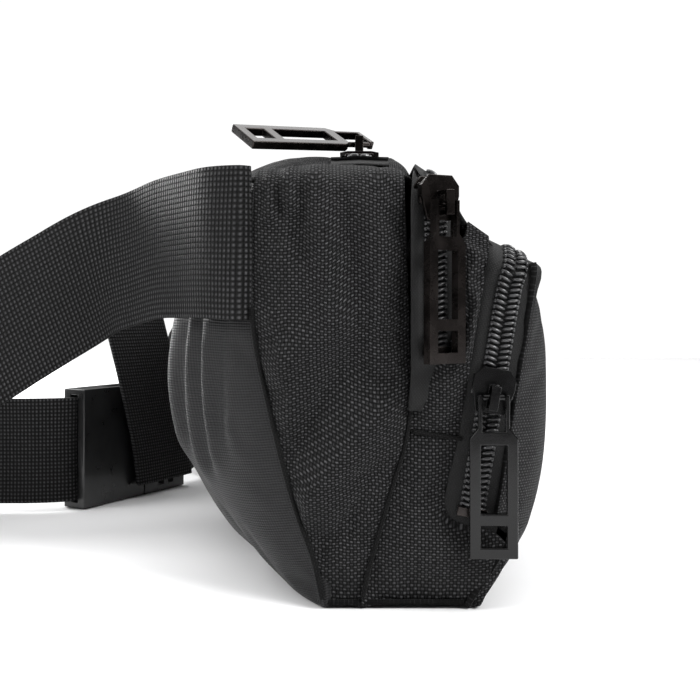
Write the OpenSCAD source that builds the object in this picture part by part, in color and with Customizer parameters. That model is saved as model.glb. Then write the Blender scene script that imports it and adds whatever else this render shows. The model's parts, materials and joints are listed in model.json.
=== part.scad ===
// Waist pack as it stands on a table. Its long side runs along X, the pocket faces -Y and the belt is at +Y.
// The origin is at the middle of the flat bottom face.

/* [Bag] */
// Length of the bag from end seam to end seam
bag_l = 280; // [200:1:360]
// Height of the end panels at their top seam
end_h = 107; // [90:1:130]
// Height of the fabric crown over the middle of the bag
crown_h = 116; // [100:1:140]
// How far the back panel stands out behind the origin at mid length
back_out = 50; // [40:1:60]
// Thickness of one fabric wall with its lining
wall = 1.6; // [1:0.1:2.5]
// Thickness of the foam in the back panel
foam_t = 5; // [3:0.5:7]
// Thickness of the stiffened bottom
bottom_t = 2; // [1.5:0.1:3]
// Gap left between two panels where a seam joins them
seam_gap = 0.3; // [0.2:0.1:0.6]

/* [Front pocket] */
// How far the pocket's front stands out before the origin at its ends
pocket_out = 47; // [40:1:60]
// Extra bulge of the pocket's front at mid length
pocket_bulge = 7; // [2:1:12]
// Height of the pocket's top zip line
pocket_h = 88; // [76:1:90]

/* [Zips] */
// Width of the two closed rows of coil
chain_w = 6.2; // [5:0.1:8]
// Height of the coil
coil_t = 2.2; // [1.8:0.1:2.6]
// Thickness of the zip tape
tape_t = 0.6; // [0.4:0.1:0.8]
// Slot left between the two rows for the slider's post
chain_slot = 1.5; // [1.3:0.1:2]
// Half width of the tape on the two upper zips
tape_half = 7.2; // [6:0.1:9]
// Half width of the tape on the pocket zip
pocket_tape_half = 5.6; // [5.5:0.1:6.5]
// Clearance all round inside a slider
slider_gap = 0.35; // [0.3:0.05:0.5]
// Length of a slider's body
slider_l = 11; // [9:0.5:14]
// Width of a slider's body
slider_w = 10.4; // [9.8:0.1:12]

/* [Pulls] */
// Length of a pull
pull_l = 39.5; // [34:0.5:46]
// Width of a pull
pull_w = 11.6; // [10:0.1:14]
// Thickness of a pull
pull_t = 2.2; // [1.6:0.1:2.3]
// Radius of the round bar that a pull turns on
bar_r = 0.75; // [0.6:0.05:0.85]
// Angle that the top pull lies at, away from straight back
top_pull_yaw = 36; // [20:1:36]
// Angle that the top pull's far edge is raised
top_pull_tilt = 30; // [10:1:30]
// Angle that the second pull is turned on its slider, towards the pocket
second_pull_yaw = 12; // [0:1:12]

/* [Belt] */
// Width of the webbing
web_w = 38; // [30:1:40]
// Thickness of the webbing
web_t = 1.6; // [1.2:0.1:2]
// Height of the webbing's lower edge where it is sewn in
strap_z = 69; // [60:1:75]

/* [Buckle] */
// Height of the buckle, across the webbing
buckle_h = 44; // [42:1:48]
// Thickness of the buckle
buckle_t = 10; // [9:0.5:12]
// Length of the socket half
socket_l = 34; // [30:1:40]
// Length of the plug half's body
plug_l = 25; // [22:1:32]
// Clearance between the two halves
buckle_gap = 0.4; // [0.3:0.1:0.6]

/* [Hidden] */
$fn = 32;

half_l = bag_l / 2;
end_x = half_l - wall - seam_gap;
// Colours
cloth = [0.07, 0.075, 0.08];
web_c = [0.06, 0.065, 0.07];
gunmetal = [0.16, 0.14, 0.14];
gloss = [0.02, 0.02, 0.022];
// Places of the three zips
main_zip_y = -2.5;
main_zip_z = crown_h - 3;
main_zip_end = half_l - 16;
second_zip_yaw = 25;
second_zip_y = -20.8;
second_zip_out = 0.7;
second_tape_half = 5.2;
second_top_end = half_l - 9;
second_zip_low = 62;
second_zip_top = end_h - 1;
second_top_y = -21.5;
second_top_z = end_h - 0.2;
side_lean = 9.5;
side_y = 34.9;
side_z = 54;
side_low = 24;
side_high = 82;
pocket_zip_y = -pocket_out + 6;
pocket_zip_tilt = 30;
// A slider's heights above the middle of the tape
coil_low = 0.9;
coil_top = coil_t - coil_low;
plate_low = coil_top + slider_gap;
plate_t = 1.25;
plate_top = plate_low + plate_t;
under_top = -coil_low - slider_gap;
under_t = 0.9;
eye_half = 1.9;
arch_post = 1.1;
arch_w = 2.2;
eye_low = plate_top + 0.2;
eye_h = 3.6;
axis_up = eye_low + eye_h / 2;
axis_high = eye_low + eye_h - bar_r - 0.3;
// Sliders at rest
main_slider_x = -half_l + 25.5;
arch_back = 1.5;
second_slider_z = end_h - 6;
pocket_slider_z = side_z;
// Buckle's place: middle of its mouth, turned so that the plug leaves along its own +X
buckle_at = [12, 88, buckle_h / 2 + 0.3];
buckle_yaw = -28;
// Height of the webbing's lower edge where it enters the buckle
web_low = buckle_at.z - web_w / 2;

function mix(a, b, t) = a + (b - a) * t;
function swell(s) = 1 - pow(abs(s), 6);
function unit(v) = v / norm(v);
// The point u along the buckle's own X and v along its own Y, at height z
function at_buckle_point(u, v, z) = [buckle_at.x + u * cos(buckle_yaw) - v * sin(buckle_yaw),
    buckle_at.y + u * sin(buckle_yaw) + v * cos(buckle_yaw), z];
// Outline points pushed inwards by d, on the side given
function pushed(p, d) = [for (k = [0 : len(p) - 1])
    let (a = p[max(k - 1, 0)], b = p[min(k + 1, len(p) - 1)], u = unit(b - a)) p[k] + d * [-u.y, u.x]];

// Outline of each panel in the YZ plane, at the end of the bag and at its middle
back_end = [[24, end_h - 3], [24.6, 90], [24, 71], [20, 52], [14, 28], [7.5, 9], [6, bottom_t + 0.4]];
back_mid = [[back_out - 12, crown_h - 10], [back_out - 5, 92], [back_out - 1.5, 75], [back_out - 0.5, 55],
    [back_out - 6, 30], [back_out - 17, 10], [back_out - 26, bottom_t + 0.4]];
zip_edge = tape_half + 1.2 + seam_gap;
rear_top_end = [[24, end_h - 1.3], [14, end_h], [main_zip_y + zip_edge, end_h + 0.5]];
rear_top_mid = [[back_out - 14, crown_h - 7.3], [20, crown_h - 1],
    [main_zip_y + zip_edge, crown_h]];
front_top_end = [[main_zip_y - zip_edge, end_h + 0.5], [-14, end_h - 1]];
front_top_mid = [[main_zip_y - zip_edge, crown_h], [-14.3, crown_h - 5]];
divider_end = [[-16.2, end_h - 3.5], [-17, 92], [-17.6, 75], [-17.2, 56], [-14, 41], [-10, 29], [-6, 18],
    [-3, bottom_t + 0.4]];
divider_mid = [[-16, crown_h - 9], [-17, 95], [-17.6, 75], [-17.2, 56], [-16, 41], [-14.5, 29], [-13, 18],
    [-12, bottom_t + 0.4]];
wall_end = [[-28, 93.5], [-28.5, 75], [-26.5, 58], [-23, 40], [-19, 20], [-14.5, bottom_t + 0.4]];
wall_mid = [[-29.5, 93.5], [-30.5, 75], [-30, 58], [-28, 40], [-25, 20], [-21, bottom_t + 0.4]];
front_end = [[-pocket_out + 0.2, pocket_h - 4], [-pocket_out - 0.2, 66], [-pocket_out + 0.2, 47],
    [-pocket_out + 2, 30], [-pocket_out + 4.5, 20], [-pocket_out + 8, 12], [-pocket_out + 12, 5.5],
    [-pocket_out + 15.5, bottom_t + 0.4]];
front_mid = [for (k = [0 : len(front_end) - 1])
    front_end[k] - [pocket_bulge * sin(180 * (k + 0.4) / (len(front_end) + 0.4)), 0]];
pocket_top_end = [[-28.5, 97.2], [pocket_zip_y + (pocket_tape_half + 0.9) * cos(pocket_zip_tilt),
    pocket_h + (pocket_tape_half + 0.9) * sin(pocket_zip_tilt)]];
pocket_top_mid = pocket_top_end;

// Belt route: points of the webbing's lower edge, from the near seam round behind the bag to the socket.
// The loops by the seams move out with the ends of a longer bag.
longer = half_l - 140;
function moved(p) = [p.x + sign(p.x) * longer * max(0, min(1, (abs(p.x) - 45) / 40)), p.y, p.z];
near_points = [[-141, 26.5, strap_z + 2], [-141.5, 30, strap_z + 2], [-133, 36.5, strap_z + 2.5],
    [-123, 44, strap_z + 2.5], [-111, 53, strap_z + 2], [-100, 62.5, strap_z], [-93, 73, strap_z - 3],
    [-90, 86, strap_z - 10], [-89, 101, strap_z - 19], [-89, 117, 40], [-87, 133, 31], [-81, 148, 22],
    [-70, 160, 14], [-55, 166, 8], [-40, 164, 5], [-29, 155, 4], [-23, 143, 3.5], [-21, 130, 3.3]];
near_route = [for (p = near_points) moved(p)];
near_last = [[-20.5, 115, web_low], at_buckle_point(-socket_l + 1, 0, web_low),
    at_buckle_point(-socket_l + 7, 0, web_low)];
far_points = [[56, 69.5, 5], [68, 75.5, 7.5], [80, 82, 10.5], [94, 86.5, 16], [107, 85, 24], [118, 78, 34],
    [127, 67, 46], [134, 54, 58], [138, 42, 67], [140.5, 33, strap_z + 1.5], [141, 26.5, strap_z + 2]];
far_route = [at_buckle_point(plug_l + 2, 0, web_low), at_buckle_point(plug_l + 6, 0, web_low),
    at_buckle_point(plug_l + 13, 1, web_low + 0.5), for (p = far_points) moved(p)];
tail_off = -buckle_t / 2 - 2.5;
tail_route = [at_buckle_point(15, tail_off, 4), at_buckle_point(11, tail_off - 0.5, 20),
    at_buckle_point(4, tail_off - 2, 38), at_buckle_point(-3, tail_off - 3, 56),
    at_buckle_point(-8, tail_off - 1.5, 74), at_buckle_point(-11, tail_off + 1, 92)];

// A strip of webbing along its lower edge's points, standing on edge, with ends square to the route
module ribbon(route, w, t) {
    n = len(route);
    side = [for (k = [0 : n - 1]) let (d = route[min(k + 1, n - 1)] - route[max(k - 1, 0)])
        unit([-d.y, d.x, 0]) * t / 2];
    points = [for (k = [0 : n - 1]) each [route[k] - side[k], route[k] + side[k],
        route[k] + side[k] + [0, 0, w], route[k] - side[k] + [0, 0, w]]];
    skin(points, n);
}

// A strip that rises along its middle line with its width lying level at the given angle
module rising_strip(route, w, t, a) {
    n = len(route);
    points = [for (k = [0 : n - 1])
        let (f = 0.55 + 0.45 * k / (n - 1), u = [cos(a), sin(a), 0] * w * f / 2,
            v = [-sin(a), cos(a), 0] * t / 2)
        each [route[k] - u - v, route[k] + u - v, route[k] + u + v, route[k] - u + v]];
    skin(points, n);
}

// Closes rings of four points into one solid
module skin(points, n) {
    sides = [for (k = [0 : n - 2]) for (j = [0 : 3])
        let (a = 4 * k + j, b = 4 * k + (j + 1) % 4) each [[a, a + 4, b], [b, a + 4, b + 4]]];
    m = 4 * (n - 1);
    polyhedron(points, concat([[0, 1, 2], [0, 2, 3], [m + 2, m + 1, m], [m + 3, m + 2, m]], sides));
}

// A curved wall between the end outline and the middle outline, t thick on the inner side
module sheet(end_line, mid_line, reach, t, steps = 12) {
    m = len(end_line);
    rows = [for (i = [0 : steps])
        let (s = sin(90 * (2 * i / steps - 1)), line = mix(end_line, mid_line, swell(s)),
            inner = pushed(line, t))
        concat([for (p = line) [s * reach, p.x, p.y]],
            [for (k = [m - 1 : -1 : 0]) [s * reach, inner[k].x, inner[k].y]])];
    ring = 2 * m;
    sides = [for (i = [0 : steps - 1]) for (j = [0 : ring - 1])
        let (a = i * ring + j, b = i * ring + (j + 1) % ring) each [[a, b, a + ring], [b, b + ring, a + ring]]];
    first = [for (k = [0 : m - 2]) each [[k, ring - 1 - k, k + 1], [k + 1, ring - 1 - k, ring - 2 - k]]];
    last = [for (f = first) [f[0], f[2], f[1]] + [1, 1, 1] * steps * ring];
    polyhedron([for (r = rows) each r], concat(sides, first, last));
}

// A flat panel on the near end of the bag, from its outline in the YZ plane
module end_plate(outline, t = wall) {
    translate([-half_l, 0, 0]) rotate([90, 0, 90]) linear_extrude(t) polygon(outline);
}

module far_side() {
    mirror([1, 0, 0]) children();
}

// Two halves of tape along local Y, from y0 to y1, with their faces up
module tape(y0, y1, half) {
    for (s = [0, 1]) mirror([s, 0, 0])
        translate([chain_slot / 2, y0, -tape_t / 2]) cube([half - chain_slot / 2, y1 - y0, tape_t]);
}

// The two rows of coil that stand on the tape, resting on its upper and lower faces
module coil(y0, y1) {
    w = (chain_w - chain_slot) / 2;
    for (s = [0, 1]) mirror([s, 0, 0]) {
        translate([chain_slot / 2, y0, tape_t / 2]) cube([w, y1 - y0, coil_top - tape_t / 2]);
        translate([chain_slot / 2, y0, -coil_low]) cube([w, y1 - y0, coil_low - tape_t / 2]);
    }
}

// A stop clamped round the end of the coil
module zip_stop(y0, l = 2.4) {
    difference() {
        translate([-chain_w / 2 - 0.6, y0, -coil_low - 0.4]) cube([chain_w + 1.2, l, coil_t + 0.8]);
        translate([-chain_w / 2 - 1, y0 - 1, -tape_t / 2]) cube([chain_w + 2, l + 2, tape_t]);
    }
}

// Places of the zips: local Y runs along the chain and local Z stands out of the bag
module on_main_zip() {
    translate([0, main_zip_y, main_zip_z]) rotate([0, 0, -90]) children();
}

module on_second_zip() {
    translate([-half_l - second_zip_out, second_zip_y, 0]) rotate([0, 0, second_zip_yaw - 90]) rotate([90, 0, 0])
        children();
}

module on_second_top() {
    translate([0, second_top_y, second_top_z]) rotate([35, 0, 0]) rotate([0, 0, -90]) children();
}

module on_side_zip() {
    translate([-half_l + tape_t / 2, -side_y, side_z]) rotate([side_lean, 0, 0]) rotate([0, 0, -90])
        rotate([90, 0, 0]) children();
}

module on_pocket_top() {
    translate([0, pocket_zip_y, pocket_h]) rotate([pocket_zip_tilt, 0, 0]) rotate([0, 0, -90]) children();
}

// Slider body: two plates joined by a thin post, with an arch along the chain that holds the pull
module slider_body() {
    inner = chain_w / 2 + slider_gap;
    side_low_z = tape_t / 2 + slider_gap;
    shield = [[-3.6, -slider_l / 2], [3.6, -slider_l / 2], [slider_w / 2, 0.5], [slider_w / 2, slider_l / 2 - 2.5],
        [3.2, slider_l / 2], [-3.2, slider_l / 2], [-slider_w / 2, slider_l / 2 - 2.5], [-slider_w / 2, 0.5]];
    translate([0, 0, plate_low]) linear_extrude(plate_t) polygon(shield);
    translate([0, 0, under_top - under_t]) linear_extrude(under_t) polygon(shield);
    for (s = [0, 1]) mirror([s, 0, 0])
        translate([inner, -1.5, side_low_z]) cube([slider_w / 2 - inner, 5, plate_low - side_low_z]);
    post_w = chain_slot - 2 * slider_gap;
    translate([-post_w / 2, slider_l / 2 - 3, under_top]) cube([post_w, 2.4, plate_low - under_top]);
    difference() {
        translate([-arch_w / 2, -arch_back - eye_half - arch_post, plate_top])
            cube([arch_w, 2 * (eye_half + arch_post), eye_low - plate_top + eye_h + 1]);
        translate([-arch_w, -arch_back - eye_half, eye_low]) cube([2 * arch_w, 2 * eye_half, eye_h]);
    }
}

ring_w = 7.6;
ring_bar = 1;
ring_l = 9;

// Flat outline of a pull that hangs along -Y from its ring, with its three windows
module pull_outline() {
    difference() {
        union() {
            translate([-ring_w / 2, -ring_l - 1]) square([ring_w, ring_l + 1 + bar_r]);
            polygon([[-ring_w / 2, -ring_l + 1.6], [ring_w / 2, -ring_l + 1.6], [pull_w / 2, -ring_l - 0.8],
                [pull_w / 2, -pull_l + bar_r], [-pull_w / 2, -pull_l + bar_r], [-pull_w / 2, -ring_l - 0.8]]);
        }
        translate([-ring_w / 2 + ring_bar, -ring_l + 0.8]) square([ring_w - 2 * ring_bar, ring_l - 0.8 - bar_r]);
        translate([-pull_w / 2 + 2.6, -pull_l * 0.71]) square([pull_w - 5.2, pull_l * 0.42]);
        translate([-pull_w / 2 + 2.6, -pull_l * 0.915]) square([pull_w - 5.2, pull_l * 0.135]);
    }
}

// A pull that turns on the round bar across the top of its ring
module hanging_pull() {
    difference() {
        translate([0, 0, -pull_t / 2]) linear_extrude(pull_t) pull_outline();
        translate([-ring_w / 2 + ring_bar, -bar_r * 2, -pull_t]) cube([ring_w - 2 * ring_bar, bar_r * 4, 2 * pull_t]);
    }
    translate([-ring_w / 2 + 0.4, 0, 0]) rotate([0, 90, 0]) cylinder(h = ring_w - 0.8, r = bar_r);
}

// A pull that turns on the bar at the side of its ring, with that bar's axis at X = 0
module side_pull() {
    bar_x = ring_w / 2 - ring_bar / 2;
    low = -ring_l + 0.8;
    translate([bar_x, 0, 0]) {
        difference() {
            translate([0, 0, -pull_t / 2]) linear_extrude(pull_t) pull_outline();
            translate([-ring_w / 2 - 1, low, -pull_t]) cube([ring_bar + 1.2, -low - bar_r, 2 * pull_t]);
        }
        translate([-bar_x, low - 0.5, 0]) rotate([-90, 0, 0]) cylinder(h = -low - bar_r + 1, r = bar_r);
    }
}

module bottom_panel() {
    color(cloth) linear_extrude(bottom_t) polygon(concat(
        [for (i = [0 : 24]) let (s = i / 12 - 1) [s * end_x, mix(back_end[6].x, back_mid[6].x, swell(s))]],
        [[end_x, -12.3], [-end_x, -12.3]]));
}

module back_cover() {
    color(cloth) sheet(back_end, back_mid, end_x, -wall);
}

module back_foam() {
    inset = wall + 0.2;
    color([0.2, 0.2, 0.2]) sheet(pushed(back_end, -inset), pushed(back_mid, -inset), end_x - 4, -foam_t);
}

module near_end_gusset() {
    color(cloth) end_plate([[-12.5, end_h - 2], [22.5, end_h - 2], [23.4, 90], [22.8, 71], [18.8, 52], [12.8, 28],
        [6.5, 9], [5.2, bottom_t + 0.4], [-2.6, bottom_t + 0.4], [-4, 9], [-9.6, 29], [-13.2, 41], [-14.2, 49],
        [-14.4, 64]]);
}

module far_end_gusset() {
    far_side() near_end_gusset();
}

module rear_top_panel() {
    color(cloth) sheet(rear_top_end, rear_top_mid, end_x, wall);
}

module front_top_panel() {
    color(cloth) sheet(front_top_end, front_top_mid, end_x, wall);
}

module divider() {
    color(cloth) sheet(divider_end, divider_mid, end_x - 6, wall);
}

module front_wall() {
    color(cloth) sheet(wall_end, wall_mid, end_x - 12, wall);
}

module pocket_front_panel() {
    color(cloth) sheet(front_end, front_mid, end_x, wall);
}

module pocket_bottom() {
    front_y = front_end[7].x + 0.3;
    color(cloth) translate([-end_x, front_y, 0]) cube([2 * end_x, -12.6 - front_y, bottom_t]);
}

module pocket_top() {
    color(cloth) sheet(pocket_top_end, pocket_top_mid, end_x, wall);
}

module near_pocket_gusset() {
    rear = [for (z = [94, 84, 70, 43.4]) [-side_y - (z - side_z) * tan(side_lean) + pocket_tape_half + 0.5, z]];
    color(cloth) end_plate(concat(rear, [[-15.6, 44.8], [-19.4, 60.5], [-28.2, 61.5], [-28.2, 95.4]]));
}

module far_pocket_gusset() {
    far_side() near_pocket_gusset();
}

module near_lower_gusset() {
    tape_low = -side_y - (side_low - 3 - side_z) * tan(side_lean);
    color(cloth) end_plate([[-15.4, 44], [tape_low + pocket_tape_half - 3.5, 42.6],
        [tape_low + pocket_tape_half + 0.5, side_low - 3.6], [-pocket_out + 7, side_low - 5.6], [-pocket_out + 9, 12.5],
        [-pocket_out + 13, 6], [-pocket_out + 16, bottom_t + 0.4], [-3.4, bottom_t + 0.4], [-5, 9], [-11, 29]]);
}

module far_lower_gusset() {
    far_side() near_lower_gusset();
}

module near_corner_strip() {
    inner = [for (z = [side_low - 5, 54, 70, pocket_h - 5])
        [-side_y - (z - side_z) * tan(side_lean) - pocket_tape_half - 0.4, z]];
    color(cloth) end_plate(concat(inner, [[-pocket_out - 0.4, pocket_h - 5], [-pocket_out, 66], [-pocket_out + 0.4, 47],
        [-pocket_out + 2.2, 30], [-pocket_out + 4.4, side_low - 5]]));
}

module far_corner_strip() {
    far_side() near_corner_strip();
}

// Plain corner at the far end, where the near end has its zip
module far_front_corner() {
    color(cloth) far_side() end_plate([[-15.9, end_h - 3], [-15.6, 64], [-27.8, 62], [-27.8, 94], [-22, end_h - 4]]);
}

// Rolled edge binding that stands along the end seam of the back panel
module near_seam_piping() {
    line = [[24.8, 69], [21.1, 52], [15.2, 28], [8.6, 9], [7.4, bottom_t + 0.5]];
    color(cloth) translate([-half_l - 1.4, 0, 0]) rotate([90, 0, 90]) linear_extrude(1.2)
        polygon(concat(line, pushed([for (k = [4 : -1 : 0]) line[k]], -1.4)));
}

module far_seam_piping() {
    far_side() near_seam_piping();
}

module main_zip_tape() {
    color(cloth) on_main_zip() tape(-main_zip_end, main_zip_end, tape_half);
}

module main_zip_coil() {
    color(gloss) on_main_zip() coil(-main_zip_end + 3, main_zip_end - 3);
}

module main_zip_stops() {
    color(gunmetal) on_main_zip() {
        zip_stop(-main_zip_end + 0.4);
        zip_stop(main_zip_end - 2.8);
    }
}

module second_zip_tape() {
    color(cloth) {
        on_second_zip() tape(second_zip_low, second_zip_top - 4, second_tape_half);
        on_second_top() tape(-second_top_end, second_top_end, second_tape_half);
    }
}

module second_zip_coil() {
    color(gloss) {
        on_second_zip() coil(second_zip_low + 3, second_zip_top - 4);
        on_second_top() coil(-second_top_end + 3, second_top_end - 3);
    }
}

module second_zip_stop() {
    color(gunmetal) on_second_zip() zip_stop(second_zip_low + 0.4);
}

module pocket_zip_tape() {
    color(cloth) {
        for (s = [0, 1]) mirror([s, 0, 0]) on_side_zip()
            tape(side_low - 2 - side_z, side_high - side_z, pocket_tape_half);
        on_pocket_top() tape(-end_x, end_x, pocket_tape_half);
    }
}

module pocket_zip_coil() {
    color(gloss) {
        for (s = [0, 1]) mirror([s, 0, 0]) on_side_zip() coil(side_low + 1 - side_z, side_high - side_z);
        on_pocket_top() coil(-end_x, end_x);
    }
}

module pocket_zip_stop() {
    color(gunmetal) for (s = [0, 1]) mirror([s, 0, 0]) on_side_zip() zip_stop(side_low - 1.6 - side_z);
}

module main_slider() {
    color(gunmetal) translate([main_slider_x, main_zip_y, main_zip_z]) rotate([0, 0, 90]) slider_body();
}

module main_pull() {
    color(gunmetal) translate([main_slider_x + arch_back, main_zip_y, main_zip_z + axis_high])
        rotate([0, 0, top_pull_yaw]) rotate([0, -top_pull_tilt, 0]) rotate([0, 0, 180]) mirror([1, 0, 0])
        translate([0, ring_l / 2 - 0.7, 0]) side_pull();
}

module second_slider() {
    color(gunmetal) on_second_zip() translate([0, second_slider_z, 0]) slider_body();
}

module second_pull() {
    color(gunmetal) on_second_zip() translate([0, second_slider_z - arch_back, axis_up])
        rotate([0, second_pull_yaw, 0]) hanging_pull();
}

module pocket_slider() {
    color(gloss) on_side_zip() translate([0, pocket_slider_z - side_z, 0]) slider_body();
}

module pocket_pull() {
    color(gloss) translate([-half_l + tape_t / 2 - axis_up, -side_y + arch_back * sin(side_lean),
        side_z - arch_back * cos(side_lean)]) rotate([0, 0, -90]) rotate([90, 0, 0]) hanging_pull();
}

module near_strap() {
    color(web_c) ribbon(concat(near_route, near_last), web_w, web_t);
}

module far_strap() {
    color(web_c) ribbon(far_route, web_w, web_t);
}

module strap_tail() {
    color(web_c) rising_strip(tail_route, web_w, web_t, buckle_yaw);
}

// Elastic loop that would hold the rolled tail, round the far strap next to the plug
module strap_keeper() {
    at = far_route[5];
    dir = far_route[6] - far_route[4];
    room = 1.2;
    rise = 2.2;
    color(web_c) translate([at.x, at.y, at.z + web_w / 2]) rotate([0, 0, atan2(dir.y, dir.x)]) difference() {
        translate([-4, -web_t / 2 - room - 1, -web_w / 2 - rise - 1])
            cube([8, web_t + 2 * room + 2, web_w + 2 * rise + 2]);
        translate([-5, -web_t / 2 - room, -web_w / 2 - rise]) cube([10, web_t + 2 * room, web_w + 2 * rise]);
    }
}

module at_buckle() {
    translate(buckle_at) rotate([0, 0, buckle_yaw]) children();
}

cavity_t = buckle_t - 3.6;
cavity_h = buckle_h - 6;
mouth = 4;
prong_x = 6.5;
prong_z = 13;
prong_pin_r = 1.6;
prong_bore_r = 1.65;

// Socket half: open at +X, with notches above and below for the prongs and a bar for the webbing
module buckle_socket() {
    back = mouth - socket_l;
    color(gloss) at_buckle() difference() {
        translate([back, -buckle_t / 2, -buckle_h / 2]) cube([socket_l, buckle_t, buckle_h]);
        translate([back + 11, -cavity_t / 2, -cavity_h / 2]) cube([socket_l, cavity_t, cavity_h]);
        translate([back + 16, -cavity_t / 2, -buckle_h / 2 - 1]) cube([socket_l, cavity_t, buckle_h + 2]);
        translate([back - 1, -web_t / 2 - 0.7, -web_w / 2 - 0.7]) cube([7.4, web_t + 1.4, web_w + 1.4]);
    }
}

// Plug half: a ladder body outside the socket and a guide tongue inside it
module buckle_plug() {
    body_x = mouth + buckle_gap;
    color(gloss) at_buckle() difference() {
        union() {
            translate([body_x, -buckle_t / 2, -buckle_h / 2]) cube([plug_l, buckle_t, buckle_h]);
            translate([mouth - socket_l + 12.5, -cavity_t / 2 + buckle_gap, -4.5])
                cube([socket_l - 12.5 + 1, cavity_t - 2 * buckle_gap, 9]);
        }
        for (s = [-1, 1]) {
            translate([0, -cavity_t / 2, s * prong_z - 5]) cube([prong_x + 3.6, cavity_t, 10]);
            translate([prong_x, buckle_t, s * prong_z]) rotate([90, 0, 0]) cylinder(h = 2 * buckle_t, r = prong_bore_r);
        }
        translate([body_x + 8.5, -buckle_t, -web_w / 2 - 0.7]) cube([3.4, 2 * buckle_t, web_w + 1.4]);
        translate([body_x + 14.5, -buckle_t, -web_w / 2 - 0.7]) cube([3.4, 2 * buckle_t, web_w + 1.4]);
        translate([body_x + 21, -web_t / 2 - 0.7, -web_w / 2 - 0.7]) cube([plug_l, web_t + 1.4, web_w + 1.4]);
    }
}

// A springy arm with a hooked tip, on its pin in the plug
module prong() {
    arm_t = cavity_t - 1.2;
    tip_x = mouth - socket_l + 17;
    translate([prong_x, 0, prong_z]) rotate([90, 0, 0])
        translate([0, 0, -buckle_t / 2 + 0.6]) cylinder(h = buckle_t - 1.2, r = prong_pin_r);
    translate([0, arm_t / 2, 0]) rotate([90, 0, 0]) linear_extrude(arm_t)
        polygon([[prong_x + 2.4, prong_z - 2.4], [prong_x + 2.4, prong_z + 2.4], [-2, prong_z + 3.6],
            [-3.4, cavity_h / 2 + 2.2], [tip_x + 1, cavity_h / 2 + 1.6], [tip_x, prong_z + 2], [tip_x, prong_z - 0.6]]);
}

module upper_prong() {
    color(gloss) at_buckle() prong();
}

module lower_prong() {
    color(gloss) at_buckle() mirror([0, 0, 1]) prong();
}

bottom_panel();
back_cover();
back_foam();
near_end_gusset();
far_end_gusset();
rear_top_panel();
front_top_panel();
divider();
front_wall();
pocket_front_panel();
pocket_bottom();
pocket_top();
near_pocket_gusset();
far_pocket_gusset();
near_lower_gusset();
far_lower_gusset();
near_corner_strip();
far_corner_strip();
far_front_corner();
near_seam_piping();
far_seam_piping();
main_zip_tape();
main_zip_coil();
main_zip_stops();
second_zip_tape();
second_zip_coil();
second_zip_stop();
pocket_zip_tape();
pocket_zip_coil();
pocket_zip_stop();
main_slider();
main_pull();
second_slider();
second_pull();
pocket_slider();
pocket_pull();
near_strap();
far_strap();
strap_tail();
strap_keeper();
buckle_socket();
buckle_plug();
upper_prong();
lower_prong();
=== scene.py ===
"""Waist pack: fabric shells, zips, pulls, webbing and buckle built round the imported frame, in metres."""

import json
import math

import bmesh
import bpy
from mathutils import Matrix, Vector, noise
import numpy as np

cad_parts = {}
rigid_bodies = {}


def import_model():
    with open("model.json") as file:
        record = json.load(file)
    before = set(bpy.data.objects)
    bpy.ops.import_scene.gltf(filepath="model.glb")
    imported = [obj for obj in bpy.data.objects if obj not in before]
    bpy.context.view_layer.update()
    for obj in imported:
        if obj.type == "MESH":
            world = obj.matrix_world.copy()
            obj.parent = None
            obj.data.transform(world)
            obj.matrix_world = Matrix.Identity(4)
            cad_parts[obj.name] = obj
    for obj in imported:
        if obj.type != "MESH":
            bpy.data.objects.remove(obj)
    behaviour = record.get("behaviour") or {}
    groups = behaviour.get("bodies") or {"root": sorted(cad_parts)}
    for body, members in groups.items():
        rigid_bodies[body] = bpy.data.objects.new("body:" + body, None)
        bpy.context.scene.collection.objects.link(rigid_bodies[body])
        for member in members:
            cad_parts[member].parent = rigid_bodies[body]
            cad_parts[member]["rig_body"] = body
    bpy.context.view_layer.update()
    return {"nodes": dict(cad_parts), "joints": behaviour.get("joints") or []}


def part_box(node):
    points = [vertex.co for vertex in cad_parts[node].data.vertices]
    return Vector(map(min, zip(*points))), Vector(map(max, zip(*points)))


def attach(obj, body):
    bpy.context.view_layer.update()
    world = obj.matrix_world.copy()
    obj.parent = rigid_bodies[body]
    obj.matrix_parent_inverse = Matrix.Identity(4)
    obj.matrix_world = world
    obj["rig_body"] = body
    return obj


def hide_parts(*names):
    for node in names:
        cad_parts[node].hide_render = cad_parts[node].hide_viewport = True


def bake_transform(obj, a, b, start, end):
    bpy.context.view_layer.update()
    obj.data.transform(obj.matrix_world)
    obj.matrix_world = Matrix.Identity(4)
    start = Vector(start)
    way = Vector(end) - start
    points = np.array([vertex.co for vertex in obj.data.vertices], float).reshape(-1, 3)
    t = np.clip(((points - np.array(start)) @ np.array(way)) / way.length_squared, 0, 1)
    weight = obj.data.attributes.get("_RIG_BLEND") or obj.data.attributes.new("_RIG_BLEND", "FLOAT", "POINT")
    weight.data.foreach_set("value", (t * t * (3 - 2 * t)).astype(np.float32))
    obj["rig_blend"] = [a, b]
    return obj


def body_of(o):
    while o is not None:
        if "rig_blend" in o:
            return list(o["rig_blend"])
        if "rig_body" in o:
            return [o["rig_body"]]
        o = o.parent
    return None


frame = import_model()
joints = {j["name"]: j for j in frame["joints"]}
MM = 0.001

# Places read from the frame
end_low, end_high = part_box("near_end_gusset")
HALF_L = -end_low.x
END_H = end_high.z + 2 * MM
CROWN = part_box("rear_top_panel")[1].z
BACK_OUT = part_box("back_cover")[1].y
POCKET_OUT = -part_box("near_corner_strip")[0].y
tape_low, tape_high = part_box("main_zip_tape")
MAIN_ZIP_Y = (tape_low.y + tape_high.y) / 2
MAIN_ZIP_Z = (tape_low.z + tape_high.z) / 2
MAIN_ZIP_END = tape_high.x
WEB_W = 38 * MM
WEB_T = 1.6 * MM

# ---------------------------------------------------------------- camera

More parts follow.
